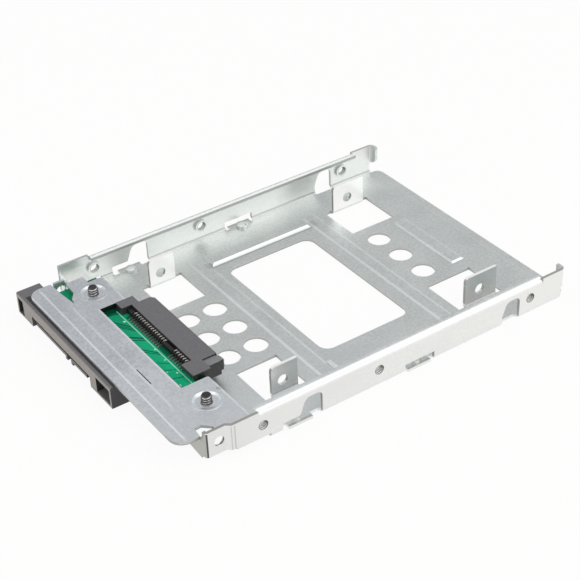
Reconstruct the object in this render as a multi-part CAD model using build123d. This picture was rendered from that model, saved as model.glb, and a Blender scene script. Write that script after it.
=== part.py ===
from build123d import *
import os

os.makedirs("parts", exist_ok=True)

# All lengths are in millimetres. X runs from the bay end of the tray to its far end,
# Y across it and Z up from the underside of the floor.

# Bay and drive standards that the tray has to meet
BAY_WIDTH = 101.6
BAY_HOLES_X = (28.5, 70.11, 130.1)
BAY_HOLE_Z = 6.35
FLOOR_HOLES_X = (41.28, 85.73)
FLOOR_HOLE_Y = 47.63
SCREW_HOLE_R = 1.6
LUG_HOLES_X = (45.4, 122.0)
LUG_HOLE_Z = 5.25
LUG_HOLE_R = 1.8
LUG_INNER_Y = 34.95
CONTACT_PITCH = 1.27
KEY_PITCH = 6.35
POWER_COUNT = 15
SIGNAL_COUNT = 7

# Sheet metal
SHEET = 1.0
HALF_SHEET = SHEET / 2
BEND = 1.5
TIGHT_BEND = 1.0
WALL_Y = BAY_WIDTH / 2
WALL_MID = WALL_Y - HALF_SHEET
WALL_INNER = WALL_Y - SHEET
WALL_TOP = 11.55
FREE_EDGE_Z = 2.05
FLOOR_END = 147.0
FLOOR_BEND_START = 31.0
WALL_END = 143.2
FLOOR_CORNER_R = 2.5
FLANGE_X = (27.2, 135.2)
FLANGE_EDGE_Y = 47.4
NEAR_WALL_START = 19.4
FAR_WALL_START = 16.2
THROUGH = 20.0

# Raised front section
SECTION_TOP = 8.75
SECTION_MID = SECTION_TOP - HALF_SHEET
SECTION_UNDER = SECTION_TOP - SHEET
LIP_X = 2.6
LIP_Y = 46.4
LIP_CORNER_R = 4.5
STEP_TOP_X = 26.6
STEP_FOOT_X = 27.8
SECTION_NEAR_Y = -48.2
SECTION_FAR_Y = 40.0
BOARD_WINDOW = (17.2, 29.0, -24.9, 24.4)
DIMPLES = ((20.1, 34.0), (20.1, -34.0))
DIMPLE_FLOOR = 7.35

# Circuit board and connectors
BOARD_TOP = 6.35
BOARD_THICK = 1.6
BOARD_UNDER = BOARD_TOP - BOARD_THICK
BOARD_X = (9.2, 26.2, 27.2)
BOARD_Y = (-39.0, 44.0)
PLUG_X = (0.75, BOARD_X[0])
PLUG_Y = (-11.3, 50.7)
PLUG_Z = (0.05, 4.05, SECTION_UNDER)
TONGUE_Z = (1.95, 3.05)
PLUG_POWER_Y = 18.97
SOCKET_POWER_Y = -0.78
SOCKET_TOP = 8.95
SOCKET_UNDER = 3.35
SOCKET_MOUTH_TOP = 6.45
SCREW_R = 1.5
CONTACT_WIDTH = 0.6
CONTACT_THICK = 0.25

# The row's origin is the middle of the underside
X_MID = (PLUG_X[0] + FLOOR_END) / 2


def box(x0, x1, y0, y1, z0, z1):
    corner = (Align.MIN, Align.MIN, Align.MIN)
    return Pos(x0, y0, z0) * Box(x1 - x0, y1 - y0, z1 - z0, align=corner)


def pin_y(x, z, radius, y0, y1):
    circle = Plane.XZ.offset(-y1) * Pos(x, z) * Circle(radius)
    return extrude(circle, amount=y1 - y0)


def pin_z(x, y, radius, z0, z1):
    return extrude(Pos(x, y, z0) * Circle(radius), amount=z1 - z0)


def prism_x(points, x0, x1):
    face = make_face(Polyline(*points, close=True))
    return extrude(Plane.YZ.offset(x0) * face, amount=x1 - x0)


def prism_y(points, y0, y1):
    face = make_face(Polyline(*points, close=True))
    return extrude(Plane.XZ.offset(-y1) * face, amount=y1 - y0)


def prism_z(points, z0, z1):
    face = make_face(Polyline(*points, close=True))
    return extrude(Pos(0, 0, z0) * face, amount=z1 - z0)


def sheet_x(points, x0, x1, radius=BEND):
    """Folded sheet with its centre line in Y and Z."""
    face = trace(FilletPolyline(*points, radius=radius), line_width=SHEET)
    return extrude(Plane.YZ.offset(x0) * face, amount=x1 - x0)


def sheet_y(points, y0, y1, radius=TIGHT_BEND):
    """Folded sheet with its centre line in X and Z."""
    face = trace(FilletPolyline(*points, radius=radius), line_width=SHEET)
    return extrude(Plane.XZ.offset(-y1) * face, amount=y1 - y0)


def sheet_z(points, z0, z1, radius=TIGHT_BEND):
    """Folded sheet with its centre line in X and Y."""
    face = trace(FilletPolyline(*points, radius=radius), line_width=SHEET)
    return extrude(Pos(0, 0, z0) * face, amount=z1 - z0)


def slab(x0, x1, y0, y1, z0, z1, radius):
    """Upright block with rounded vertical edges."""
    face = Pos((x0 + x1) / 2, (y0 + y1) / 2, z0) * RectangleRounded(x1 - x0, y1 - y0, radius)
    return extrude(face, amount=z1 - z0)


def frustum(x0, x1, y0, y1, z0, height, inset):
    """Block whose sides lean in by the inset."""
    centre = ((x0 + x1) / 2, (y0 + y1) / 2)
    low = Pos(*centre, z0) * Rectangle(x1 - x0, y1 - y0)
    high = Pos(*centre, z0 + height) * Rectangle(x1 - x0 - 2 * inset, y1 - y0 - 2 * inset)
    return loft([low, high])


def channel():
    """Floor, side walls and their inward top flanges."""
    flange_z = WALL_TOP - HALF_SHEET
    half = [(FLANGE_EDGE_Y, flange_z), (WALL_MID, flange_z), (WALL_MID, HALF_SHEET)]
    mirrored = [(-y, z) for y, z in half]
    flanged = sheet_x(mirrored + half[::-1], FLOOR_BEND_START, FLANGE_X[1])
    plain_points = [(-WALL_MID, WALL_TOP), (-WALL_MID, HALF_SHEET), (WALL_MID, HALF_SHEET), (WALL_MID, WALL_TOP)]
    plain = sheet_x(plain_points, FLANGE_X[1], WALL_END)
    body = flanged + plain
    for points in (mirrored, half):
        short = points[:2] + [(points[2][0], FREE_EDGE_Z)]
        body += sheet_x(short, FLANGE_X[0], FLOOR_BEND_START)
    body += box(NEAR_WALL_START, FLANGE_X[0], -WALL_Y, -WALL_INNER, FREE_EDGE_Z, WALL_TOP)
    body += box(FAR_WALL_START, FLANGE_X[0], WALL_INNER, WALL_Y, FREE_EDGE_Z, WALL_TOP)
    return body


def floor_ends():
    """Flat parts of the floor beyond the folded walls."""
    reach = 48.8
    far_end = slab(WALL_END - 6, FLOOR_END, -reach, reach, 0, SHEET, FLOOR_CORNER_R)
    near_end = box(STEP_FOOT_X + 0.5, FLOOR_BEND_START + 1, SECTION_NEAR_Y, -SECTION_NEAR_Y, 0, SHEET)
    return far_end + near_end


def end_flange(side):
    """Inward flange at the far end of a side wall, its lower free corner cut off."""
    plane_x = 144.5
    bottom = 4.85
    edge = 47.3
    points = [(138.0, side * WALL_MID), (plane_x, side * WALL_MID), (plane_x, side * edge)]
    flange = sheet_z(points, bottom, WALL_TOP, BEND)
    corner = [(side * 46.0, bottom - 1), (side * 48.9, bottom - 1), (side * 48.9, bottom), (side * 46.0, bottom + 2.9)]
    return flange - prism_x(corner, plane_x - 2, plane_x + 2)


def front_outline():
    """Outline of the raised section and its step, seen from above."""
    near = [
        (LIP_X, -LIP_Y), (10.2, -LIP_Y), (10.6, -42.5), (12.9, -42.4), (15.3, -44.7),
        (15.5, SECTION_NEAR_Y), (FLOOR_BEND_START, SECTION_NEAR_Y),
    ]
    far = [
        (FLOOR_BEND_START, SECTION_FAR_Y), (21.5, SECTION_FAR_Y), (21.5, 43.8), (15.4, 43.8),
        (15.1, 40.6), (14.9, 37.5), (12.8, 34.7), (12.3, 32.0), (11.55, 38.5), (11.1, LIP_Y), (LIP_X, LIP_Y),
    ]
    plate = prism_z(near + far, -1, THROUGH)
    corners = plate.edges().filter_by(Axis.Z).group_by(Axis.X)[0]
    return fillet(corners, LIP_CORNER_R)


def dimple(x, y):
    """Seat pressed down onto the board for a screw tip."""
    seat = [
        (SCREW_R, DIMPLE_FLOOR), (2.8, DIMPLE_FLOOR), (4.2, SECTION_TOP), (5.0, SECTION_TOP),
        (5.0, SECTION_UNDER), (4.6, SECTION_UNDER), (3.2, BOARD_TOP), (SCREW_R, BOARD_TOP),
    ]
    half = Plane.XZ * make_face(Polyline(*seat, close=True))
    return Pos(x, y, 0) * revolve(half, Axis.Z, 360)


def front_section():
    """Raised section with its lip, the step down to the floor and the screw seats."""
    points = [(LIP_X, SECTION_MID), (STEP_TOP_X, SECTION_MID), (STEP_FOOT_X, HALF_SHEET), (FLOOR_BEND_START + 1, HALF_SHEET)]
    section = sheet_y(points, SECTION_NEAR_Y, LIP_Y) & front_outline()
    section -= [pin_z(x, y, 4.8, SECTION_UNDER - 1, THROUGH) for x, y in DIMPLES]
    section += [dimple(x, y) for x, y in DIMPLES]
    return section - box(10.95, 11.3, -17.8, -9.3, 0, THROUGH)


def near_tab():
    """Front tab on the near wall: joggle, ear with a hole and a deeper return under the lip."""
    tab_y = -49.1
    low = 2.6
    return_x = 10.4
    end_y = -40.5
    ear = sheet_z([(return_x, -46), (return_x, tab_y), (16.6, tab_y)], low, WALL_TOP, 0.6)
    ear -= box(return_x - 1, return_x + 1, -48.0, end_y, 0, THROUGH)
    joggle = [(15.9, tab_y), (16.7, tab_y), (18.2, -WALL_MID), (NEAR_WALL_START + 0.5, -WALL_MID)]
    flap = [
        (-48.1, low), (-47.0, 1.3), (end_y, 1.9), (end_y, SECTION_UNDER - 0.3), (-46.6, SECTION_UNDER - 0.3),
        (-46.6, SECTION_TOP), (-48.1, 9.6),
    ]
    tab = ear + sheet_z(joggle, low, WALL_TOP, 0.6)
    tab += prism_x(flap, return_x - HALF_SHEET, return_x + HALF_SHEET)
    return tab - pin_y(14.4, 6.95, 1.7, -THROUGH * 3, -45)


def far_tab():
    """Front tab on the far wall, set back from it by a short return."""
    tab_y = 45.8
    low = 3.45
    turn_x = FAR_WALL_START + HALF_SHEET
    tab = sheet_z([(11.9, tab_y), (turn_x, tab_y), (turn_x, WALL_MID), (FAR_WALL_START + 4, WALL_MID)], low, 7.85)
    tab += box(11.9, FAR_WALL_START - 0.5, tab_y - HALF_SHEET, tab_y + HALF_SHEET, low, 9.05)
    return tab - pin_y(14.2, 5.75, 1.7, 44, 47)


def lug(side, x0, x1, hole_x):
    """Ear bent up from the floor that holds one side screw of the drive."""
    mid_y = LUG_INNER_Y + HALF_SHEET
    top = 11.15
    ear = sheet_x([(side * 39, HALF_SHEET), (side * mid_y, HALF_SHEET), (side * mid_y, top)], x0, x1, TIGHT_BEND)
    corner = ear.edges().filter_by(Axis.Y).group_by(Axis.Z)[-1].sort_by(Axis.X)[0]
    ear = fillet(corner, 1.5)
    return ear - pin_y(hole_x, LUG_HOLE_Z, LUG_HOLE_R, -40, 40)


def floor_beads():
    """Frame round the window and the pad near the far end, as added and as pressed-out solids."""
    raised = []
    pressed = []
    outlines = (
        (58.0, 63.6, -38.5, 38.5, 0.4, 0.8),
        (104.5, 109.8, -38.5, 38.5, 0.4, 0.8),
        (63.8, 104.3, -38.6, -32.3, 0.9, 0.9),
        (63.8, 104.3, 32.3, 38.6, 0.9, 0.9),
        (128.3, 133.4, -15.0, 16.6, 0.5, 0.6),
    )
    for x0, x1, y0, y1, height, inset in outlines:
        flank = (height ** 2 + inset ** 2) ** 0.5
        shift = SHEET * (flank - inset) / height
        raised.append(frustum(x0, x1, y0, y1, SHEET, height, inset))
        pressed.append(frustum(x0 + shift, x1 - shift, y0 + shift, y1 - shift, 0, height, inset))
    return raised, pressed


def notch(points, corner_a, corner_b):
    """Opening from the bottom edge through both side walls."""
    opening = prism_y(points, -THROUGH * 3, THROUGH * 3)
    tops = opening.edges().filter_by(Axis.Y).group_by(Axis.Z)[-1].sort_by(Axis.X)
    opening = fillet(tops[0], corner_a)
    tops = opening.edges().filter_by(Axis.Y).group_by(Axis.Z)[-1].sort_by(Axis.X)
    opening = fillet(tops[-1], corner_b)
    reach = 48.6
    return opening - box(0, FLOOR_END, -reach, reach, -THROUGH, THROUGH)


def floor_openings():
    """Window, round holes, the four cut-outs, the board window and a step at the far edge."""
    cuts = [slab(66.5, 100.1, -28.0, 28.0, -1, 3, 3.6)]
    for x in (41.3, 51.6, 118.4):
        for y in (-11.9, 0.0, 11.9):
            cuts.append(pin_z(x, y, 4.0, -1, 3))
    for side in (-1, 1):
        low, high = sorted((side * 20.0, side * 36.5))
        cuts.append(box(38.6, 53.6, low, high, -1, 3))
        cuts.append(box(113.2, 131.3, low, high, -1, 3))
    shallow = 0.2
    cuts.append(box(144.2, FLOOR_END + 1, -48, 48, SHEET - shallow, SHEET + 1))
    cuts.append(box(*BOARD_WINDOW, -1, THROUGH))
    return cuts


def wall_openings():
    """D-shaped notches and the low slots round the floor tabs, with the tabs."""
    reach = 48.4
    slot_top = 3.5
    cuts = [
        notch([(40.6, -1), (40.6, 2.0), (43.4, 8.85), (49.2, 8.85), (49.2, -1)], 2.5, 1.8),
        notch([(118.5, -1), (118.5, 4.0), (120.3, 8.8), (125.6, 8.8), (125.6, -1)], 2.5, 1.8),
    ]
    tabs = []
    for x0, x1, tab_x0, tab_x1 in ((35.2, 46.2, 37.4, 45.8), (79.9, 91.2, 81.2, 90.0)):
        for side in (-1, 1):
            low, high = sorted((side * reach, side * (WALL_Y + 1)))
            cuts.append(box(x0, x1, low, high, -1, slot_top))
            low, high = sorted((side * (reach - 1), side * (WALL_Y - 0.2)))
            tabs.append(box(tab_x0, tab_x1, low, high, 0, SHEET))
    return cuts, tabs


def collars():
    """Burred collars in the walls and floor tabs, and the screw holes through them."""
    depth = 0.9
    outer = 2.3
    rings = []
    holes = []
    for side in (-1, 1):
        for x in BAY_HOLES_X:
            low, high = sorted((side * (WALL_INNER - depth), side * (WALL_Y - 0.2)))
            rings.append(pin_y(x, BAY_HOLE_Z, outer, low, high))
            low, high = sorted((side * 45, side * (WALL_Y + 1)))
            holes.append(pin_y(x, BAY_HOLE_Z, SCREW_HOLE_R, low, high))
        for x in FLOOR_HOLES_X:
            rings.append(pin_z(x, side * FLOOR_HOLE_Y, outer - 0.2, 0, SHEET + depth))
            holes.append(pin_z(x, side * FLOOR_HOLE_Y, SCREW_HOLE_R, -1, SHEET + 1 + depth))
    return rings, holes


def make_bracket():
    raised, pressed = floor_beads()
    cuts, tabs = wall_openings()
    rings, holes = collars()
    body = channel() + [floor_ends(), front_section(), *raised]
    body -= [*pressed, *floor_openings(), *cuts]
    folded = [near_tab(), far_tab()]
    for side in (-1, 1):
        folded.append(lug(side, 41.3, 50.8, LUG_HOLES_X[0]))
        folded.append(lug(side, 116.0, 128.9, LUG_HOLES_X[1]))
        folded.append(end_flange(side))
    body += [*tabs, *folded, *rings]
    return body - holes


def make_board():
    board = box(BOARD_X[0], BOARD_X[1], *BOARD_Y, BOARD_UNDER, BOARD_TOP)
    board += box(BOARD_X[1], BOARD_X[2], -24.2, 23.8, BOARD_UNDER, BOARD_TOP)
    return board - [pin_z(x, y, SCREW_R + 0.1, 0, THROUGH) for x, y in DIMPLES]


def contact_row(points, first_y, count, direction):
    """Row of equal folded strips at the standard pitch."""
    face = trace(Polyline(*points), line_width=CONTACT_THICK)
    strips = []
    for i in range(count):
        y = first_y + direction * i * CONTACT_PITCH
        strips.append(extrude(Plane.XZ.offset(-y - CONTACT_WIDTH / 2) * face, amount=CONTACT_WIDTH))
    return strips


def socket_contacts():
    """Power and signal contacts of the drive socket."""
    foot_z = BOARD_TOP + CONTACT_THICK / 2
    tail_z = 7.55
    strip_z = SOCKET_MOUTH_TOP - CONTACT_THICK / 2
    points = [(33.2, strip_z), (27.9, strip_z), (27.0, tail_z), (25.7, tail_z), (24.9, foot_z), (23.4, foot_z)]
    power = contact_row(points, SOCKET_POWER_Y, POWER_COUNT, 1)
    signal = contact_row(points, SOCKET_POWER_Y - KEY_PITCH, SIGNAL_COUNT, -1)
    return power, signal


def plug_contacts():
    """Power and signal contacts of the bay plug."""
    strip_z = TONGUE_Z[0] - CONTACT_THICK / 2
    tail_z = BOARD_UNDER - CONTACT_THICK / 2
    points = [(1.3, strip_z), (7.0, strip_z), (8.4, tail_z), (11.4, tail_z)]
    power = contact_row(points, PLUG_POWER_Y, POWER_COUNT, 1)
    signal = contact_row(points, PLUG_POWER_Y - KEY_PITCH, SIGNAL_COUNT, -1)
    return power, signal


def socket_shell():
    """Outer shape of the drive socket before the contact slots."""
    y0, y1 = -17.25, 20.3
    front = 34.2
    ear_x = (22.8, 29.0)
    near_ear_y = (-22.4, -15.6)
    guide_y = -20.6
    guide_end = 33.6
    step = 0.5
    shell = box(BOARD_X[2], front, y0, y1, SOCKET_UNDER, SOCKET_TOP)
    far_corner = shell.edges().filter_by(Axis.Z).group_by(Axis.X)[-1].sort_by(Axis.Y)[-1]
    shell = chamfer(far_corner, 1.2)
    nose = box(guide_end - 1, 35.2, guide_y + 0.2, y0 - 0.6, 4.6, SOCKET_TOP - step)
    nose = chamfer(nose.faces().sort_by(Axis.X)[-1].edges(), 0.7)
    shell += [
        box(26.4, BOARD_X[2], y0, y1, BOARD_TOP, SOCKET_TOP),
        box(24.6, 26.4, near_ear_y[1], y1, BOARD_TOP, 7.9),
        box(*ear_x, y1, BOARD_WINDOW[3] - 0.1, BOARD_TOP, SOCKET_TOP),
        box(*ear_x, *near_ear_y, 7.4, SOCKET_TOP),
        box(ear_x[0] + 1, BOARD_X[2], near_ear_y[0] + 0.6, near_ear_y[1], BOARD_TOP, 7.4),
        box(BOARD_X[2], guide_end, guide_y, y0, SOCKET_UNDER, SOCKET_TOP - step),
        nose,
    ]
    return shell - box(25.9, 26.4, -15.2, 17.7, 7.0, THROUGH)


def socket_mouths():
    """Keyed slots for the two tongues of the drive's plug."""
    depth_x = 28.0
    low = 5.05
    key_low = 3.95
    slots = []
    for y0, y1, key_y0, key_y1 in ((-2.95, 18.0, -2.95, -1.75), (-15.75, -4.95, -6.15, -4.95)):
        slots.append(box(depth_x, 40, y0, y1, low, SOCKET_MOUTH_TOP))
        slots.append(box(depth_x, 40, key_y0, key_y1, key_low, low + 0.1))
    return slots


def make_socket(contacts):
    slot = [(24.0, 6.3), (24.85, 6.3), (25.7, 7.42), (26.4, 7.42), (26.4, 8.5), (24.0, 8.5)]
    half = CONTACT_WIDTH / 2 + 0.08
    passages = []
    for strip in contacts:
        y = strip.center().Y
        passages.append(prism_y(slot, y - half, y + half))
    return socket_shell() - [*socket_mouths(), *passages, *contacts]


def plug_tongues():
    """Keyed tongues that carry the contacts of the bay plug."""
    tip_x = 0.9
    root_x = 6.4
    key_low = 0.85
    power = box(tip_x, root_x, 17.0, 37.57, *TONGUE_Z) + box(tip_x, root_x, 17.0, 18.2, key_low, TONGUE_Z[1])
    signal = box(tip_x, root_x, 4.18, 14.59, *TONGUE_Z) + box(tip_x, root_x, 13.4, 14.59, key_low, TONGUE_Z[1])
    return power + signal


def make_plug(contacts):
    x0, x1 = PLUG_X
    y0, y1 = PLUG_Y
    low, mid, top = PLUG_Z
    shell = box(x0, x1, y0, y1, mid, top)
    front_edge = shell.edges().filter_by(Axis.Y).group_by(Axis.X)[0].sort_by(Axis.Z)[-1]
    shell = chamfer(front_edge, 0.4)
    shell += [
        box(6.2, x1, 1.0, 41.0, 0.45, mid),
        box(x0, x1, y0, 2.0, low, mid),
        box(x0, x1, 40.5, y1, low, mid),
        plug_tongues(),
    ]
    pockets = [box(x0 - 1, 7.0, 46.4, 49.8, 0.55, 6.25), box(x0 - 1, 7.0, -10.3, -2.1, 0.85, 6.25)]
    return shell - [*pockets, *contacts]


def screw(x, y):
    """Plain core of a pan-head machine screw put in from below, its tip standing in the seat."""
    head_r = 2.75
    head_z = BOARD_UNDER - 1.9
    thread_root = 0.25
    tip_z = 10.95
    body = pin_z(x, y, head_r, head_z, BOARD_UNDER)
    body += [
        pin_z(x, y, SCREW_R, BOARD_UNDER, DIMPLE_FLOOR),
        pin_z(x, y, SCREW_R - thread_root, DIMPLE_FLOOR, tip_z),
    ]
    recess = [
        box(x - 1.5, x + 1.5, y - 0.3, y + 0.3, head_z - 1, head_z + 0.9),
        box(x - 0.3, x + 0.3, y - 1.5, y + 1.5, head_z - 1, head_z + 0.9),
    ]
    return body - recess


def save(name, shape):
    export_step(Pos(-X_MID, 0, 0) * shape, f"parts/{name}.step")


socket_power, socket_signal = socket_contacts()
plug_power, plug_signal = plug_contacts()
save("bracket", make_bracket())
save("circuit_board", make_board())
save("drive_socket_housing", make_socket(socket_power + socket_signal))
save("drive_socket_power_contacts", Compound(socket_power))
save("drive_socket_signal_contacts", Compound(socket_signal))
save("bay_plug_housing", make_plug(plug_power + plug_signal))
save("bay_plug_power_contacts", Compound(plug_power))
save("bay_plug_signal_contacts", Compound(plug_signal))
save("board_screws", Compound([screw(x, y) for x, y in DIMPLES]))
save("board_capacitor", box(17.2, 18.8, -22.2, -21.4, BOARD_TOP, BOARD_TOP + 0.8))
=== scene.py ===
# %% [markdown]
# # Drive bay adapter bracket
# A folded sheet-steel tray carries a small drive inside a larger drive bay. The solids come
# from the CAD frame with their real sizes. This script adds what the CAD leaves out: the
# finishes of the sheet, board, plastics and contacts, the printed marks on the board, the
# screw threads, the soft rings in the screw seats and the solder, and a plain studio to look
# at the part in.

# %% Load the frame
import math
from functools import reduce
import bpy
import numpy as np
from mathutils import Matrix, Vector


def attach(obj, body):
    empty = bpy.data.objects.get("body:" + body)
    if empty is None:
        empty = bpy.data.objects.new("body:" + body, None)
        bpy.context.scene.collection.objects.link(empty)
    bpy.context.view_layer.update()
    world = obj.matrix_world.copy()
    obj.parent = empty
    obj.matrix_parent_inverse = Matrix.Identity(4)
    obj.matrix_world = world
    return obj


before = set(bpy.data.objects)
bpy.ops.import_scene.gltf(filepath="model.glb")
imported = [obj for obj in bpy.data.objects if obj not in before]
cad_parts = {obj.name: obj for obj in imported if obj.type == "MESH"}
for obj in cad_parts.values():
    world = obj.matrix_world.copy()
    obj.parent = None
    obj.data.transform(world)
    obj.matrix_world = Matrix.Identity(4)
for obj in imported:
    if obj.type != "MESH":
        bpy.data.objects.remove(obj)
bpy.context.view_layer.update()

print("nodes:", sorted(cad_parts))

# %% [markdown]
# The tray is drawn in millimetres from its plug end, with heights taken from the underside
# of its floor. Blender works in metres from the middle of the part, so one helper turns the
# first into the second, and every later cell can use the sizes that a maker would read off
# the drawing.

# %% From drawing millimetres to metres
MM = 0.001
PLUG_FRONT, FLOOR_END = 0.75, 147.0
X_MID = (PLUG_FRONT + FLOOR_END) / 2


def metres(x, y, z):
    """Place on the drawing, in millimetres, as a place in the scene."""
    return (x - X_MID) * MM, y * MM, z * MM


print("origin lies", X_MID, "mm from the plug end of the drawing")

# %% [markdown]
# Finishes here are worked out from the place on the part, such as a printed line that lies
# 22.3 mm from the plug end. Wiring Math nodes by hand hides that formula, so a small class
# wraps a socket and lets plain Python arithmetic add the nodes.


# %% Shader arithmetic
class Signal:
    """One output of a shader tree. Arithmetic on it adds Math nodes."""

    def __init__(self, paint, socket):
        self.paint = paint
        self.socket = socket

    def math(self, operation, *others):
        return self.paint.node("ShaderNodeMath", {"operation": operation}, [self, *others])

    def __add__(self, other):
        return self.math("ADD", other)

    def __sub__(self, other):
        return self.math("SUBTRACT", other)

    def __rsub__(self, other):
        return self * -1.0 + other

    def __mul__(self, other):
        return self.math("MULTIPLY", other)

    def __truediv__(self, other):
        return self.math("DIVIDE", other)

    def __abs__(self):
        return self.math("ABSOLUTE")

    def clamp(self):
        """Kept between 0 and 1."""
        return self.math("MAXIMUM", 0.0).math("MINIMUM", 1.0)

    def above(self, level, soft):
        """0 below the level and 1 above it, over the soft width."""
        return ((self - level) / soft + 0.5).clamp()

    def below(self, level, soft):
        """1 below the level and 0 above it, over the soft width."""
        return ((self - level) / -soft + 0.5).clamp()

    def within(self, low, high, soft):
        """1 between low and high, falling to 0 over the soft width on each side."""
        return self.above(low, soft) * self.below(high, soft)

    def either(self, other):
        return self.math("MAXIMUM", other)

    def lesser(self, other):
        return self.math("MINIMUM", other)


def any_of(masks):
    """One mask that holds wherever any of the given ones does."""
    return reduce(Signal.either, masks)


def distance(along, across):
    """Distance from the place where both offsets are zero."""
    return (along * along + across * across).math("SQRT")


class Paint:
    """A material under construction, with its Principled shader."""

    def __init__(self, name, **values):
        self.material = bpy.data.materials.new(name)
        self.material.use_nodes = True
        self.tree = self.material.node_tree
        self.shader = self.tree.nodes["Principled BSDF"]
        for key, value in values.items():
            self.feed(key.replace("_", " "), value)

    def node(self, kind, settings=None, values=(), output=0):
        """Add a node: its settings first, then its input values or links, by order or by name."""
        made = self.tree.nodes.new(kind)
        for key, value in (settings or {}).items():
            setattr(made, key, value)
        pairs = values.items() if isinstance(values, dict) else enumerate(values)
        for key, value in pairs:
            self.join(made.inputs[key], value)
        return Signal(self, made.outputs[output])

    def join(self, socket, value):
        if isinstance(value, Signal):
            self.tree.links.new(value.socket, socket)
        else:
            socket.default_value = value

    def feed(self, name, value):
        """Set or link one socket of the Principled shader."""
        if isinstance(value, tuple) and len(value) == 3:
            value = (*value, 1.0)
        self.join(self.shader.inputs[name], value)

    def coordinates(self, output):
        """One output of the Texture Coordinate node, whole and split into three numbers."""
        whole = self.node("ShaderNodeTexCoord", output=output)
        return whole, [self.node("ShaderNodeSeparateXYZ", None, [whole], axis) for axis in "XYZ"]

    def drawing(self):
        """Object coordinates, whole and turned into the drawing's millimetres."""
        whole, (x, y, z) = self.coordinates("Object")
        return whole, x / MM + X_MID, y / MM, z / MM

    def noise(self, where, scale, detail):
        return self.node("ShaderNodeTexNoise", None, {"Vector": where, "Scale": scale, "Detail": detail})

    def stretched(self, where, factors):
        """Coordinates scaled along each axis, so that a noise on them is drawn out into streaks."""
        return self.node("ShaderNodeMapping", None, {"Vector": where, "Scale": factors})

    def blend(self, factor, low, high):
        """Colour mix from low to high."""
        low, high = [(*c, 1.0) if isinstance(c, tuple) else c for c in (low, high)]
        made = self.tree.nodes.new("ShaderNodeMix")
        made.data_type = "RGBA"
        self.join(made.inputs[0], factor)
        self.join(made.inputs[6], low)
        self.join(made.inputs[7], high)
        return Signal(self, made.outputs[2])

    def layered(self, colour, layers):
        """Colour with each layer, a mask and its colour, laid over it in turn."""
        for mask, over in layers:
            colour = self.blend(mask, colour, over)
        return colour

    def relief(self, height):
        """Bump from a height in millimetres."""
        bump = self.node("ShaderNodeBump", None, {"Strength": 1.0, "Distance": MM, "Height": height})
        self.feed("Normal", bump)


print("shader helpers ready")

# %% [markdown]
# ## Zinc-coated sheet
# The tray is cold-rolled steel with a thin zinc coat. It mirrors its surroundings softly, and
# the coat is mottled: grains under a millimetre wide take the light a little differently, and
# faint streaks from the rolls run along the sheet, most on the walls. Where the sheet was
# sheared the bare steel shows, darker and rougher, with a burnished rim along the punch side.
# The press tool also left soft shapes that are too shallow for the solids, such as two
# creases along the lip and a ring round each screw seat, so these are a relief in millimetres
# that the Bump node turns into slopes.
#
# A mask picks out one place on the sheet: it is a product of spans along x, y and z, and
# often of the way the face looks. Each mask is laid over the coat with its own colour.

# %% Places on the sheet
# Centres, radii and spans in millimetres. A side is the distance from the middle, either way
WALL_HOLES_X, WALL_HOLE_Z, WALL_HOLE_R = (28.5, 70.11, 130.1), 6.35, 1.68
TAB_HOLES, TAB_HOLE_R = ((14.4, 6.95), (14.2, 5.75)), 1.78
SEAT_X, SEAT_Y, SEAT_RING_R = 20.1, 34.0, 5.2
DOT_X, DOT_Y, DOT_R = 25.9, -31.4, 0.52
# Where a painted highlight runs along the front's step edge, beside the dot
STEP_HIGHLIGHT_SHIFT, STEP_HIGHLIGHT_Y = 0.15, (-37.4, -33.0)
FLANGES_X = (27.2, 135.2)
LUGS_X, LUGS_SIDE = ((40.8, 51.4), (115.5, 129.4)), (34.8, 36.1)
BEADS_X, BEAD_FLANKS_X = ((58.4, 63.2), (104.9, 109.4)), (58.5, 63.1, 105.0, 109.3)
PAD_X, PAD_Y = (128.7, 133.0), (-14.6, 16.2)
FRAME_X, FRAME_Y = (62.0, 107.0), (31.5, 34.8)
SLIT_X, END_LINE_X = (10.25, 10.75), 144.0
# Each joggle line in the near wall, painted as shade: its x, half its width and its softness
JOGGLES = ((17.9, 0.10, 0.30), (18.95, 0.16, 0.35))
# Darker stretches of the far wall, along x
DARKER_WALL_X = ((34.0, 53.0), (105.0, 114.0))
# Each crease: x at its far and near end, reach to either side, half width and brightness of its painted
# highlight
LIP_WIDTH = 92.0
LIP_CREASES = ((6.65, 5.95, 45.0, 0.26, 0.80), (10.85, 10.35, 31.0, 0.34, 0.42))
print(len(WALL_HOLES_X), "tapped holes in each wall,", len(LIP_CREASES), "creases along the lip")


# %% Masks of the sheet
def at_lugs(x, side):
    """Mask of the four lugs, by their reach along and across the tray."""
    along = any_of([x.within(*span, 0.2) for span in LUGS_X])
    return along * side.within(*LUGS_SIDE, 0.05)


def sheared_edges(x, y, z, normal):
    """Mask of the cut faces of the sheet, from the place and from the way the face looks."""
    nx, ny, nz = [abs(n) for n in normal]
    side = abs(y)
    upright = nz.below(0.3, 0.05)
    across = nx.above(0.7, 0.05)
    level = nz.above(0.7, 0.05)
    floor = upright * z.below(1.06, 0.02) * side.below(48.2, 0.1)
    section = upright * z.within(7.7, 8.78, 0.02) * x.below(26.0, 0.1) * side.below(48.4, 0.1)
    bare_tops = level * (1.0 - x.within(*FLANGES_X, 0.1)) * (y.below(0, 1) * 0.5 + 0.35)
    wall_ends = across * x.below(144.0, 0.1)
    walls = side.above(49.7, 0.05) * z.above(1.6, 0.1) * wall_ends.either(bare_tops)
    flanges = side.within(47.2, 47.6, 0.05) * z.above(10.5, 0.02) * ny.above(0.7, 0.05) * 0.45
    lugs = at_lugs(x, side) * across * z.above(1.6, 0.1)
    tabs = x.below(19.4, 0.05) * side.within(40.0, 49.65, 0.05) * z.above(9.4, 0.05) * level
    notches = side.above(49.7, 0.05) * z.within(1.0, 9.0, 0.1) * ny.below(0.3, 0.05)
    return any_of((floor, section, walls, flanges, lugs, tabs, notches))


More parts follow.
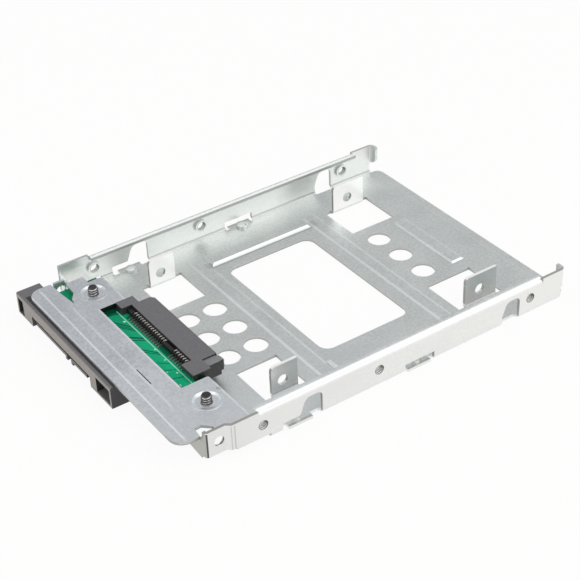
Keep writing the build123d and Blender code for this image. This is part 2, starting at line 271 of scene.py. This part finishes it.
def window_end_shade(x, y, z, normal):
    """Mask of the board window's far cut face, which is painted dark as shade."""
    faced = normal[1].below(-0.7, 0.05) * z.within(7.5, 8.74, 0.02)
    return faced * x.within(17.0, 29.2, 0.1) * y.within(24.0, 24.8, 0.1)


def bores(x, y, z, normal):
    """Mask inside the tapped holes of the walls and the holes of the two front tabs."""
    side = abs(y)
    along = reduce(Signal.lesser, [abs(x - place) for place in WALL_HOLES_X])
    bore = distance(along, z - WALL_HOLE_Z).below(WALL_HOLE_R, 0.03) * side.above(48.6, 0.05)
    for tab_x, tab_z in TAB_HOLES:
        tab_bore = distance(x - tab_x, z - tab_z).below(TAB_HOLE_R, 0.03)
        in_tab = side.within(43.5, 49.5, 0.1)
        bore = bore.either(tab_bore * in_tab * abs(normal[1]).below(0.6, 0.1))
    return bore


def seat_radius(x, y):
    """Distance from the nearer screw seat's axis, in millimetres."""
    return distance(x - SEAT_X, abs(y) - SEAT_Y)


def front_top(x, z):
    """Mask of the top of the raised front section."""
    return z.above(8.7, 0.02) * x.below(27.0, 0.1)


def front_highlights(x, y, z):
    """Mask of painted highlights on the front: along two pressed creases and on the rims of lip and
    window.
    """
    lines = []
    for far_x, near_x, reach, half_width, bright in LIP_CREASES:
        line = x - (y * ((far_x - near_x) / LIP_WIDTH) + (far_x + near_x) / 2)
        lines.append(abs(line).below(half_width, 0.4) * abs(y).below(reach, 3.0) * bright)
    lip_rim = x.below(3.1, 0.25) * ((y + 12.0) / 50.0).clamp() * 0.7
    window_rim = x.within(16.55, 17.25, 0.2) * y.within(-24.0, 24.4, 0.3) * 0.5
    return any_of((*lines, lip_rim, window_rim)) * front_top(x, z)


print("masks of the sheet ready")


# %% Zinc-coated steel
def coat(paint, noises, x, y, z):
    """Mottled colour of the coat, with its own range on the plate, the raised front and the walls, and
    painted light on the plate and the walls.
    """
    broad, grain, streaks = noises
    side = abs(y)
    walls = side.above(49.5, 0.2)
    tone = (broad - 0.5) * 1.2 + (grain - 0.5) * 2.6 + (streaks - 0.5) * (walls * 0.35 + 0.25) + 0.5
    # Painted light: the near wall grows lighter along x.
    tone = (tone + walls * y.below(0, 1) * ((x - 90) / 100)).clamp()
    on_front = x.below(27.4, 0.6) * z.above(7.5, 0.2) * side.below(48.4, 0.2)
    # Painted sheen: the plate grows paler and bluer towards the near front.
    painted_sheen = ((y * -1.0 - 2) / 42).clamp() * x.below(62, 60)
    plate = paint.blend(tone, (0.715, 0.755, 0.745), (0.855, 0.89, 0.875))
    return paint.layered(plate, (
        (on_front, paint.blend(tone, (0.665, 0.70, 0.735), (0.855, 0.885, 0.92))),
        (painted_sheen * 0.55, (0.92, 0.96, 0.98)),
        # Painted light: the walls take a paler range than the plate.
        (walls, paint.blend(tone, (0.81, 0.815, 0.795), (0.87, 0.87, 0.85))),
    ))


def front_layers(x, y, z, crease):
    """Painted highlights along the creases, and painted shade over the far half of the raised front."""
    return (
        (crease, (0.92, 0.96, 1.0)),
        # Painted shade: the far half of the raised front is darker.
        (y.above(14.0, 24.0) * front_top(x, z) * 0.30, (0.62, 0.66, 0.70)),
    )


def cut_layers(paint, x, y, z, normal, edge, bore):
    """Bare steel on the cut faces, its burnished rim, the bores painted lit below and shaded above, and
    the window's far end painted dark as shade.
    """
    rim = edge * z.within(0.55, 1.06, 0.06).either(z.within(8.15, 8.8, 0.06))
    # Painted light and shade: each bore is pale low down and dark higher up.
    lit_and_shaded_bore = paint.blend(z.below(5.9, 1.2), (0.25, 0.24, 0.225), (0.74, 0.73, 0.70))
    return (
        (edge * 0.72, (0.33, 0.32, 0.295)),
        (rim * 0.6, (0.66, 0.675, 0.665)),
        (bore, lit_and_shaded_bore),
        (window_end_shade(x, y, z, normal), (0.04, 0.045, 0.045)),
    )


def fold_shade_layers(x, y, z, normal):
    """Painted shade on the return of the near tab, in the slit beside it, at the far wall's foot and
    along the near joggle.
    """
    tab_return = normal[0].below(-0.7, 0.1) * y.below(-40, 0.5) * x.below(11.2, 0.1)
    slit = x.within(*SLIT_X, 0.15) * y.below(-49.0, 0.1) * z.below(11.2, 0.1)
    wall_foot = y.above(49.4, 0.2) * z.within(1.15, 1.70, 0.2)
    joggle = any_of([abs(x - place).below(half, soft) for place, half, soft in JOGGLES])
    joggle = joggle * y.below(-48.7, 0.1) * z.within(1.0, 11.0, 0.2)
    return (
        (tab_return, (0.46, 0.46, 0.42)),
        (slit, (0.10, 0.10, 0.10)),
        (wall_foot * 0.7, (0.30, 0.30, 0.28)),
        (joggle * 0.75, (0.42, 0.42, 0.41)),
    )


def lug_light_layers(paint, x, y, z, normal, lug_top_highlights):
    """Painted light on the lugs: outer faces of the near lugs paler upwards, and painted highlights on
    the inner faces of the far ones and on all tops.
    """
    _, ny, _ = normal
    near = y.within(-38.0, -35.8, 0.05) * z.above(1.0, 0.1) * x.above(40.0, 0.5) * ny.below(-0.25, 0.2)
    far = y.within(34.7, 35.1, 0.05) * z.above(1.4, 0.5) * ny.below(-0.5, 0.1)
    # Painted light and shade: the near lugs grow paler upwards, those past x 80 in a duller range.
    height = ((z - 3.0) / 5.5).clamp()
    left = paint.blend(height, (0.50, 0.50, 0.50), (0.82, 0.83, 0.82))
    right = paint.blend(height, (0.585, 0.565, 0.555), (0.67, 0.70, 0.69))
    return (
        (near, paint.blend(x.above(80.0, 1.0), left, right)),
        (far.either(lug_top_highlights), (0.97, 0.975, 0.955)),
    )


def line_layers(x, y, z):
    """Darker stretches of the far wall, then painted shade lines and last painted highlights."""
    side = abs(y)
    darker_wall = any_of([x.within(*span, 9.0) for span in DARKER_WALL_X]) * y.above(49.6, 0.1) * z.above(2.5, 1.0)
    # Painted shade along the flange rims, on the frame's flank and in the ring of a tiny relief hole.
    flange_rim_shade = y.within(47.0, 47.75, 0.15).either(y.above(50.0, 0.3))
    flange_rim_shade = flange_rim_shade * z.above(10.9, 0.1) * x.within(*FLANGES_X, 0.1)
    frame_flank_shade = y.within(*FRAME_Y, 0.1) * x.within(*FRAME_X, 0.5) * z.within(0.97, 1.42, 0.08)
    on_front = z.above(8.6, 0.1)
    dot_shade = abs(distance(x - DOT_X, y - DOT_Y) - DOT_R).below(0.14, 0.2) * on_front
    # Painted highlights on the bead flanks, along a line near the plate's end and on the front's step
    # edge.
    flanks = any_of([
        abs(x - place).below(0.35, 0.5) * side.below(38.4, 0.6) * z.within(0.95, 1.5, 0.05)
        for place in BEAD_FLANKS_X
    ])
    end_highlight = abs(x - END_LINE_X).below(0.3, 0.8) * side.below(47.0, 1.0) * z.below(1.2, 0.1)
    step_highlight = abs(x - DOT_X - STEP_HIGHLIGHT_SHIFT).below(0.06, 0.25) * y.within(*STEP_HIGHLIGHT_Y, 0.6) * on_front
    return (
        (darker_wall * 0.30, (0.56, 0.57, 0.56)),
        (flange_rim_shade * 0.8, (0.42, 0.42, 0.40)),
        (frame_flank_shade * 0.85, (0.56, 0.58, 0.57)),
        (dot_shade * 0.75, (0.20, 0.20, 0.19)),
        (any_of((flanks * 0.7, end_highlight * 0.25, step_highlight * 0.8)), (0.97, 0.98, 0.98)),
    )


def sheet_relief(noises, x, y, z, crease, bore):
    """Height of the coat's grain and of the soft pressed shapes, in millimetres."""
    broad, grain, _ = noises
    side = abs(y)
    ring = abs(seat_radius(x, y) - SEAT_RING_R).below(0.0, 1.6) * z.above(7.2, 0.1)
    height = (grain - 0.5) * 0.012 + (broad - 0.5) * 0.05 + crease * 0.05 + ring * 0.10
    # Both flanges lean a little, the near one with a rounded fold
    over_flange = side.above(47.2, 0.1) * z.above(10.8, 0.1) * x.within(*FLANGES_X, 0.1)
    inset = (50.2 - side).math("MAXIMUM", 0.0)
    near_lean = inset * 0.5 - inset * inset * 0.075
    far_lean = inset * -0.66
    height = height + over_flange * (near_lean * y.below(0, 1) + far_lean * y.above(0, 1))
    # Low beads on either side of the window, and the small pad behind them
    bead = any_of([x.within(*span, 1.4) * side.below(38.2, 0.8) for span in BEADS_X])
    pad = x.within(*PAD_X, 1.2) * y.within(*PAD_Y, 1.2)
    height = height + bead * 0.22 * z.within(0.9, 1.5, 0.05) + pad * 0.2 * z.within(0.9, 1.6, 0.05)
    # Threads: a zigzag along each bore
    return height + bore * side.math("PINGPONG", 0.4) * 0.8


def zinc_coated_steel():
    paint = Paint("zinc coated steel")
    where, x, y, z = paint.drawing()
    _, normal = paint.coordinates("Normal")
    broad = paint.noise(where, 70.0, 3.0)
    grain = paint.noise(where, 1100.0, 3.0)
    streaks = paint.noise(paint.stretched(where, (60.0, 900.0, 900.0)), 1.0, 3.0)
    noises = broad, grain, streaks
    crease = front_highlights(x, y, z)
    edge = sheared_edges(x, y, z, normal)
    bore = bores(x, y, z, normal)
    # Painted highlight on the tops of the lugs.
    lug_top_highlights = at_lugs(x, abs(y)) * normal[2].above(0.7, 0.05) * z.above(10.8, 0.1)
    paint.feed("Base Color", paint.layered(coat(paint, noises, x, y, z), (
        *front_layers(x, y, z, crease),
        *cut_layers(paint, x, y, z, normal, edge, bore),
        *fold_shade_layers(x, y, z, normal),
        *lug_light_layers(paint, x, y, z, normal, lug_top_highlights),
        *line_layers(x, y, z),
    )))
    # Metallic drops under the painted highlights so that their pale colour shows.
    paint.feed("Metallic", 1.0 - (crease * 0.75).either(lug_top_highlights * 0.8))
    paint.feed("Roughness", broad * 0.10 + grain * 0.10 + edge * 0.15 + 0.31)
    paint.relief(sheet_relief(noises, x, y, z, crease, bore))
    return paint.material


zinc = zinc_coated_steel()
print("made", zinc.name, "with", len(zinc.node_tree.nodes), "nodes")

# %% [markdown]
# ## Circuit board
# The board is green under a clear solder mask. Copper tracks under the mask show as darker
# bands that slant on their way to the socket, a white printed line runs beside the socket's
# feet, and a few small pads shine through. All of these are flat ink or mask on a flat face,
# so they are masks on the base colour. Under the edges of the steel and of the socket the
# board lies in the dark, and a few soft masks deepen that shade.

# %% Board with tracks, pads and a printed line
# Each track: near and far end across the board where it passes TRACK_X, and its slant
TRACK_X = 18.7
TRACKS = (
    (24.2, 24.7, 0.33), (22.6, 23.0, 0.33),
    (18.0, 18.9, 1.62), (16.6, 17.2, 1.60), (15.2, 15.9, 1.56),
    (8.2, 9.2, 0.90), (6.6, 7.2, 0.72),
    (0.6, 1.3, 1.38), (-0.9, -0.4, 1.20),
    (-7.4, -7.0, 0.9), (-12.2, -11.9, 0.5), (-17.0, -16.6, 0.4),
)
# Each round pad: x, y and radius
PADS = (
    (21.93, -1.31, 0.32), (21.38, -15.28, 0.36), (21.6, 16.9, 0.45),
    (21.67, -7.7, 0.30), (19.2, -13.2, 0.25),
)
PRINTED_LINE_X, PRINTED_LINE_REACH = (22.18, 22.42), 23.2


def solder_mask():
    paint = Paint("green solder mask", Metallic=0.0, Specular_IOR_Level=0.08)
    where, x, y, z = paint.drawing()
    grain = paint.noise(where, 300.0, 2.0)
    top = z.above(6.3, 0.02)
    track = any_of([(y + (x - TRACK_X) * slant).within(low, high, 0.12) for low, high, slant in TRACKS])
    # Painted shade under the edges of the steel and of the socket, and a little over the board's far
    # end.
    board_shade = any_of((
        y.above(22.2, 1.2) * x.above(16.5, 0.3),
        x.above(23.5, 0.5) * y.below(-16.2, 0.6),
        x.above(22.9, 0.4) * y.within(-16.4, 18.6, 0.5) * 0.95,
        y.above(10.0, 12.0) * 0.25,
    )) * top
    line = x.within(*PRINTED_LINE_X, 0.06) * abs(y).below(PRINTED_LINE_REACH, 0.05) * top
    pads = [distance(x - px, y - py).below(radius, 0.1) * top for px, py, radius in PADS]
    marks = any_of((line, *pads))
    green = paint.blend(grain, (0.004, 0.40, 0.19), (0.010, 0.49, 0.235))
    paint.feed("Base Color", paint.layered(green, (
        (track * x.below(22.0, 0.1) * top * 0.95, (0.0, 0.10, 0.065)),
        (board_shade * 0.8, (0.002, 0.03, 0.018)),
        (marks, (0.50, 0.86, 0.72)),
    )))
    paint.feed("Roughness", marks * 0.2 + 0.38)
    paint.relief((grain - 0.5) * 0.01 + track * 0.02)
    return paint.material


board_green = solder_mask()
print("made", board_green.name)

# %% [markdown]
# ## Plastics, contacts, screws and the capacitor
# The housings are black glass-filled nylon, which is really a dark grey. Faces that lie flat
# are painted paler than the upright ones as painted light, and the plug's front face is
# painted paler still, also as painted light. The contacts are tinned copper alloy, the screws
# are blackened steel with painted glints in the thread, and the capacitor is brown ceramic
# with tinned ends.


# %% Small finishes
def black_nylon():
    paint = Paint("black nylon", Metallic=0.0, Roughness=0.5)
    where, x, y, z = paint.drawing()
    _, (nx, _, nz) = paint.coordinates("Normal")
    grain = paint.noise(where, 1500.0, 3.0)
    cloud = paint.noise(where, 120.0, 2.0)
    level = nz.above(0.5, 0.2)
    lit_front_face = nx.below(-0.5, 0.2) * x.below(0.9, 0.1)
    slots = x.within(24.4, 27.6, 0.1) * z.below(8.4, 0.1)
    shade_under_lip = x.within(1.88, 3.4, 0.25) * z.above(7.5, 0.05) * y.below(46.0, 0.3)
    guide = x.above(28.0, 0.2) * y.below(-17.4, 0.2) * z.within(8.0, 8.6, 0.05) * level
    # Painted light: flat faces are paler than upright ones, the guide's top paler and the plug's front
    # face paler still; painted shade in the slots and under the lip.
    shaded_side_colour = paint.blend(grain, (0.028, 0.027, 0.028), (0.05, 0.048, 0.05))
    paint.feed("Base Color", paint.layered(shaded_side_colour, (
        (level, paint.blend(grain, (0.112, 0.111, 0.120), (0.185, 0.183, 0.194))),
        (lit_front_face, paint.blend((grain + cloud) * 0.5, (0.22, 0.20, 0.185), (0.36, 0.33, 0.30))),
        (slots.either(shade_under_lip * 0.9), (0.012, 0.012, 0.013)),
        (guide, paint.blend(grain, (0.18, 0.178, 0.185), (0.28, 0.278, 0.29))),
    )))
    paint.relief((grain - 0.5) * 0.02)
    return paint.material


def plated_contact():
    """Bright plating, dark at the feet where they stand in the shade of the socket."""
    paint = Paint("plated contact", Metallic=0.15)
    where, x, *_ = paint.drawing()
    grain = paint.noise(where, 900.0, 2.0)
    bright = paint.blend(grain, (0.80, 0.75, 0.66), (0.97, 0.94, 0.88))
    paint.feed("Base Color", paint.blend(x.within(20.0, 24.95, 0.15), bright, (0.11, 0.11, 0.10)))
    paint.feed("Roughness", grain * 0.1 + 0.26)
    return paint.material


def grained_metal(name, metallic, scale, dark, pale, roughness):
    """Plain metal whose colour runs from dark to pale and whose roughness rises with the grain."""
    paint = Paint(name, Metallic=metallic)
    where, *_ = paint.drawing()
    grain = paint.noise(where, scale, 2.0)
    paint.feed("Base Color", paint.blend(grain, dark, pale))
    paint.feed("Roughness", grain * 0.15 + roughness)
    return paint.material


def thread_with_glints():
    """Blackened flanks, with painted glints of bright metal in the groove."""
    paint = Paint("thread with painted glints", Metallic=0.6, Roughness=0.25)
    where, x, y, z = paint.drawing()
    grain = paint.noise(where, 1500.0, 2.0)
    # Painted glints: the thread's groove is painted bright.
    groove = seat_radius(x, y).below(1.36, 0.05) * z.below(10.7, 0.1)
    dark = paint.blend(grain, (0.05, 0.048, 0.05), (0.12, 0.118, 0.12))
    paint.feed("Base Color", paint.blend(groove, dark, (0.95, 0.93, 0.88)))
    return paint.material


def ceramic():
    """Brown body between two tinned ends."""
    paint = Paint("capacitor ceramic", Metallic=0.0, Roughness=0.4)
    where, x, *_ = paint.drawing()
    brown = paint.blend(paint.noise(where, 1500.0, 2.0), (0.22, 0.14, 0.10), (0.32, 0.22, 0.16))
    paint.feed("Base Color", paint.blend(x.within(17.55, 18.45, 0.06), (0.66, 0.64, 0.62), brown))
    return paint.material


nylon, plating = black_nylon(), plated_contact()
black_oxide = grained_metal("black oxide", 0.9, 1200.0, (0.045, 0.045, 0.05), (0.10, 0.098, 0.10), 0.28)
FINISHES = {
    "bracket": zinc,
    "circuit_board": board_green,
    "drive_socket_housing": nylon,
    "bay_plug_housing": nylon,
    "drive_socket_power_contacts": plating,
    "drive_socket_signal_contacts": plating,
    "bay_plug_power_contacts": plating,
    "bay_plug_signal_contacts": plating,
    "board_screws": black_oxide,
    "board_capacitor": ceramic(),
}
for name, material in FINISHES.items():
    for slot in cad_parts[name].material_slots:
        slot.material = material
print("finished", len(FINISHES), "nodes")

# %% [markdown]
# ## Meshes from grids
# Every piece below is turned about an axis, so its surface is a grid: rows along the profile
# and columns round the circle, with the last column joined to the first. One helper joins
# the rows, one closes both ends of a tube, and one adds the mesh to the part.


# %% Mesh helpers
def band(rows, columns, closed=False):
    """Quads between neighbouring rows of a grid, and from the last row to the first if closed."""
    starts = np.arange(rows if closed else rows - 1)
    row, column = np.meshgrid(starts, np.arange(columns), indexing="ij")
    low, high = row * columns, (row + 1) % rows * columns
    beside = (column + 1) % columns
    quads = np.stack([low + column, low + beside, high + beside, high + column], axis=-1)
    return quads.reshape(-1, 4)


def capped_tube(grid, foot, peak):
    """Corners and faces of a tube whose first row is closed to foot and whose last row to peak."""
    rows, columns = grid.shape[:2]
    around = np.arange(columns)
    ahead = (around + 1) % columns
    start, end, last = rows * columns, rows * columns + 1, (rows - 1) * columns
    bottom = np.stack([np.full(columns, start), ahead, around], axis=-1)
    top = np.stack([np.full(columns, end), last + around, last + ahead], axis=-1)
    corners = np.concatenate([grid.reshape(-1, 3), [foot, peak]])
    return corners, band(rows, columns).tolist() + bottom.tolist() + top.tolist()


def add_piece(name, corners, faces, material, slot):
    """Smooth mesh from corners in metres, as a piece that is fixed to the part."""
    mesh = bpy.data.meshes.new(name)
    mesh.from_pydata(corners.tolist(), [], faces)
    mesh.validate()
    mesh.shade_smooth()
    mesh.materials.append(material)
    piece = bpy.data.objects.new(name, mesh)
    bpy.context.scene.collection.objects.link(piece)
    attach(piece, "root")
    print(piece.name, len(mesh.polygons), "faces")


print("mesh helpers ready")

# %% [markdown]
# ## Screw threads
# The CAD keeps a plain core where each screw stands out of its seat. The thread is a helix:
# at height z and angle a, the radius is a triangle wave of z / pitch - a / turn, with its
# peaks cut flat. One grid in angle and height therefore holds the whole thread, and both
# ends are closed with a fan.

# %% Threads on the screw tips
ROOT_R, CREST_R, PITCH = 1.27, 1.66, 0.88
THREAD_LOW, THREAD_HIGH, CHAMFER = 7.38, 10.9, 0.7
# How fast the crest falls in the chamfer at the tip, and how fast it grows at the start
TIP_FALL, START_RISE = 0.45, 2
SEATS_Y = (("far", SEAT_Y), ("near", -SEAT_Y))


def about_screw(centre_y, radius, turn, rise):
    """Grid in metres of the points at this radius, angle and height about one screw's axis."""
    x, y = SEAT_X + radius * np.cos(turn), centre_y + radius * np.sin(turn)
    return np.stack(metres(x, y, rise), axis=-1)


def thread(centre_y):
    """Grid of the thread, in metres: a wave along a helix, cut down towards both ends."""
    angle = np.linspace(0, 2 * np.pi, 48, endpoint=False)
    height = np.linspace(THREAD_LOW, THREAD_HIGH, 97)
    turn, rise = np.meshgrid(angle, height)
    phase = (rise / PITCH - turn / (2 * np.pi)) % 1.0
    wave = np.clip(1.5 - np.abs(phase - 0.5) * 4, 0, 1)
    crest = np.minimum(CREST_R, CREST_R - (rise - (THREAD_HIGH - CHAMFER)) * TIP_FALL)
    crest = np.minimum(crest, ROOT_R + (rise - THREAD_LOW) * START_RISE)
    radius = ROOT_R + (crest - ROOT_R) * wave
    return about_screw(centre_y, radius, turn, rise)


thread_finish = thread_with_glints()
for label, centre_y in SEATS_Y:
    grid = thread(centre_y)
    corners, faces = capped_tube(grid, grid[0].mean(axis=0), grid[-1].mean(axis=0))
    add_piece(f"screw_thread_{label}", corners, faces, thread_finish, "screw_steel")

# %% [markdown]
# ## Screw seats
# The press tool dished the sheet round each screw, with a soft step down and a low ring by
# the thread. The solids hold the plain dish, and a smooth ring of metal lies in it here: one
# closed profile in radius and height, turned about the screw's axis.

# %% Dished seats
SEAT_COLUMNS = 72
SEAT_PROFILE = np.array([
    (1.60, 8.10), (1.80, 8.20), (2.05, 8.23), (2.35, 8.14), (2.75, 8.05), (3.15, 8.03), (3.45, 8.09),
    (3.75, 8.30), (4.05, 8.57), (4.30, 8.71), (4.60, 8.765), (4.95, 8.758), (4.95, 8.745), (4.20, 8.70),
    (2.90, 7.40), (1.60, 7.40),
])


def seat_ring(centre_y):
    """Corners in metres and faces of the profile turned about the axis of one screw."""
    angle = np.linspace(0, 2 * np.pi, SEAT_COLUMNS, endpoint=False)
    turn, radius = np.meshgrid(angle, SEAT_PROFILE[:, 0])
    rise = np.repeat(SEAT_PROFILE[:, 1:], SEAT_COLUMNS, axis=1)
    grid = about_screw(centre_y, radius, turn, rise)
    # The profile runs outwards along its top, so each quad is turned over to face out
    faces = band(len(SEAT_PROFILE), SEAT_COLUMNS, closed=True)[:, [0, 3, 2, 1]]
    return grid.reshape(-1, 3), faces.tolist()


for label, centre_y in SEATS_Y:
    add_piece(f"screw_seat_{label}", *seat_ring(centre_y), zinc, "galvanised_steel")

# %% [markdown]
# ## Solder on the contact feet
# Each foot of the drive socket ends in a small fillet of solder on the board: a low dome,
# longer than wide, whose height falls off with the square of the radius. One dome is a
# capped tube of three rings, and the whole row is one mesh of such domes.

# %% Solder domes
CONTACT_PITCH = 1.27
POWER_FEET = -0.78 + CONTACT_PITCH * np.arange(15)
SIGNAL_FEET = -7.13 - CONTACT_PITCH * np.arange(7)
FEET_X, BOARD_TOP, SUNK = 23.55, 6.35, 0.01
DOME_HALF_X, DOME_HALF_Y, DOME_RISE = 0.62, 0.36, 0.26
DOME_RINGS, DOME_COLUMNS = (1.0, 0.8, 0.45), 12


def domes(places):
    """Corners in metres and faces of one low dome at each place."""
    angle = np.linspace(0, 2 * np.pi, DOME_COLUMNS, endpoint=False)
    turn, ratio = np.meshgrid(angle, DOME_RINGS)
    x, y = DOME_HALF_X * ratio * np.cos(turn), DOME_HALF_Y * ratio * np.sin(turn)
    rings = np.stack([x, y, DOME_RISE * (1 - ratio ** 2)], axis=-1)
    one, one_faces = capped_tube(rings, (0, 0, 0), (0, 0, DOME_RISE))
    corners = (one[None] + np.asarray(places)[:, None]).reshape(-1, 3)
    shifts = range(0, len(corners), len(one))
    faces = [[corner + shift for corner in face] for shift in shifts for face in one_faces]
    return np.stack(metres(*corners.T), axis=-1), faces


feet = [(FEET_X, y, BOARD_TOP - SUNK) for y in (*POWER_FEET, *SIGNAL_FEET)]
solder = grained_metal("solder", 0.85, 1400.0, (0.08, 0.09, 0.08), (0.46, 0.46, 0.44), 0.22)
add_piece("socket_solder", *domes(feet), solder, "contact_metal")

# %% [markdown]
# ## Studio
# The part lies on a white sweep under soft light. Sheet metal shows what it mirrors: the
# near wall mirrors the white floor, the floor plate mirrors the greyer air behind it, and
# slopes that face the front mirror a broad bright lobe there. The world is therefore a soft
# grey ramp by height with two bright lobes, and white for the camera. The floor glows white
# for the camera and for reflections and still takes a soft shadow.


# %% Floor
def floor_sheet(half, z):
    """Flat square of the given half width at height z."""
    mesh = bpy.data.meshes.new("studio floor")
    corners = np.array([(-1, -1), (1, -1), (1, 1), (-1, 1)]) * half
    mesh.from_pydata([(u, v, z) for u, v in corners.tolist()], [], [(0, 1, 2, 3)])
    sheet = bpy.data.objects.new("studio floor", mesh)
    bpy.context.scene.collection.objects.link(sheet)
    return sheet


def white_sweep():
    paint = Paint("white sweep", Base_Color=(0.93, 0.92, 0.88), Roughness=0.9)
    rays = ("Is Camera Ray", "Is Glossy Ray", "Is Transmission Ray")
    seen = any_of([paint.node("ShaderNodeLightPath", output=ray) for ray in rays])
    plain = Signal(paint, paint.shader.outputs[0])
    glow = paint.node("ShaderNodeEmission", None, {"Color": (1, 1, 1, 1), "Strength": 1.0})
    mixed = paint.node("ShaderNodeMixShader", None, [seen * 0.92, plain, glow])
    paint.join(paint.tree.nodes["Material Output"].inputs["Surface"], mixed)
    return paint.material


floor = floor_sheet(half=2.0, z=-0.00005)
floor.data.materials.append(white_sweep())
print("floor", floor.dimensions[:])

# %% World and lamps
# Each lobe: its axis, strength and sharpness
LOBES = (((0.45, -0.60, 0.66), 0.85, 6.0), ((-0.80, 0.10, 0.60), 0.30, 6.0))
# Grey level of the sky at each height, from 0 at the bottom to 1 overhead
SKY = ((0.0, 0.98), (0.14, 0.92), (0.36, 0.60), (0.70, 0.50), (1.0, 0.62))


def soft_world():
    """Grey ramp by height plus broad lobes for light and reflections, white for the camera.

    A lobe adds strength * max(0, cosine of the angle to its axis) ** sharpness.
    """
    world = bpy.data.worlds.new("soft world")
    world.use_nodes = True
    bpy.context.scene.world = world
    tree = world.node_tree
    where = tree.nodes.new("ShaderNodeTexCoord")
    split = tree.nodes.new("ShaderNodeSeparateXYZ")
    tree.links.new(where.outputs["Generated"], split.inputs[0])
    ramp = tree.nodes.new("ShaderNodeValToRGB")
    while len(ramp.color_ramp.elements) < len(SKY):
        ramp.color_ramp.elements.new(0.5)
    for element, (place, level) in zip(ramp.color_ramp.elements, SKY):
        element.position, element.color = place, (level, level, level * 1.01, 1)
    tree.links.new(split.outputs["Z"], ramp.inputs[0])
    light = ramp.outputs[0]
    for axis, strength, sharpness in LOBES:
        cosine = tree.nodes.new("ShaderNodeVectorMath")
        cosine.operation = "DOT_PRODUCT"
        tree.links.new(where.outputs["Generated"], cosine.inputs[0])
        cosine.inputs[1].default_value = Vector(axis).normalized()
        level = cosine.outputs["Value"]
        for operation, amount in (("MAXIMUM", 0.0), ("POWER", sharpness), ("MULTIPLY", strength)):
            step = tree.nodes.new("ShaderNodeMath")
            step.operation = operation
            tree.links.new(level, step.inputs[0])
            step.inputs[1].default_value = amount
            level = step.outputs[0]
        total = tree.nodes.new("ShaderNodeVectorMath")
        total.operation = "ADD"
        tree.links.new(light, total.inputs[0])
        tree.links.new(level, total.inputs[1])
        light = total.outputs[0]
    path = tree.nodes.new("ShaderNodeLightPath")
    mix = tree.nodes.new("ShaderNodeMix")
    mix.data_type = "RGBA"
    tree.links.new(path.outputs["Is Camera Ray"], mix.inputs[0])
    tree.links.new(light, mix.inputs[6])
    mix.inputs[7].default_value = (1, 1, 1, 1)
    tree.links.new(mix.outputs[2], tree.nodes["Background"].inputs["Color"])


def softbox(name, direction, away, size, power):
    """Square lamp that faces the part from the given direction."""
    lamp = bpy.data.lights.new(name, "AREA")
    lamp.size, lamp.energy = size, power
    holder = bpy.data.objects.new(name, lamp)
    bpy.context.scene.collection.objects.link(holder)
    outwards = Vector(direction).normalized()
    turn = outwards.to_track_quat("Z", "Y").to_matrix().to_4x4()
    holder.matrix_world = Matrix.Translation(outwards * away) @ turn


soft_world()
softbox("front softbox", (0.30, -0.60, 0.80), 0.9, 0.7, 1.0)
softbox("left softbox", (-0.8, 0.1, 0.6), 0.9, 0.6, 0.9)

# %% [markdown]
# ## Camera
# The camera stands in front of the plug end's near corner, about 47 cm away and 35 degrees
# above the part, with a lens of about 91 mm. Azimuth, elevation and roll are turned into the
# camera's own axes, which is steadier than aiming it by hand.

# %% Camera
AZIMUTH, ELEVATION, ROLL = map(math.radians, (-33.467, 35.181, -2.462))
DISTANCE, LENS, SENSOR = 471.722 * MM, 91.26, 36.0
TARGET = Vector(metres(72.551, -0.763, 6.35))


def camera_axes(azimuth, elevation, roll):
    """Right, up and backward directions of a camera."""
    back = Vector((
        math.sin(azimuth) * math.cos(elevation),
        -math.cos(azimuth) * math.cos(elevation),
        math.sin(elevation),
    ))
    right = Vector((0, 0, 1)).cross(back).normalized()
    up = back.cross(right)
    turned = math.cos(roll) * right + math.sin(roll) * up
    return turned, back.cross(turned), back


data = bpy.data.cameras.new("photo camera")
data.lens, data.sensor_width, data.sensor_fit = LENS, SENSOR, "HORIZONTAL"
data.clip_start, data.clip_end = 0.01, 10.0
camera = bpy.data.objects.new("photo camera", data)
bpy.context.scene.collection.objects.link(camera)
axes = camera_axes(AZIMUTH, ELEVATION, ROLL)
turn = Matrix([[axis[i] for axis in axes] for i in range(3)]).to_4x4()
camera.matrix_world = Matrix.Translation(TARGET + axes[2] * DISTANCE) @ turn
bpy.context.scene.camera = camera
bpy.context.scene.view_settings.view_transform = "Standard"
print("camera at", [round(v, 4) for v in camera.location])
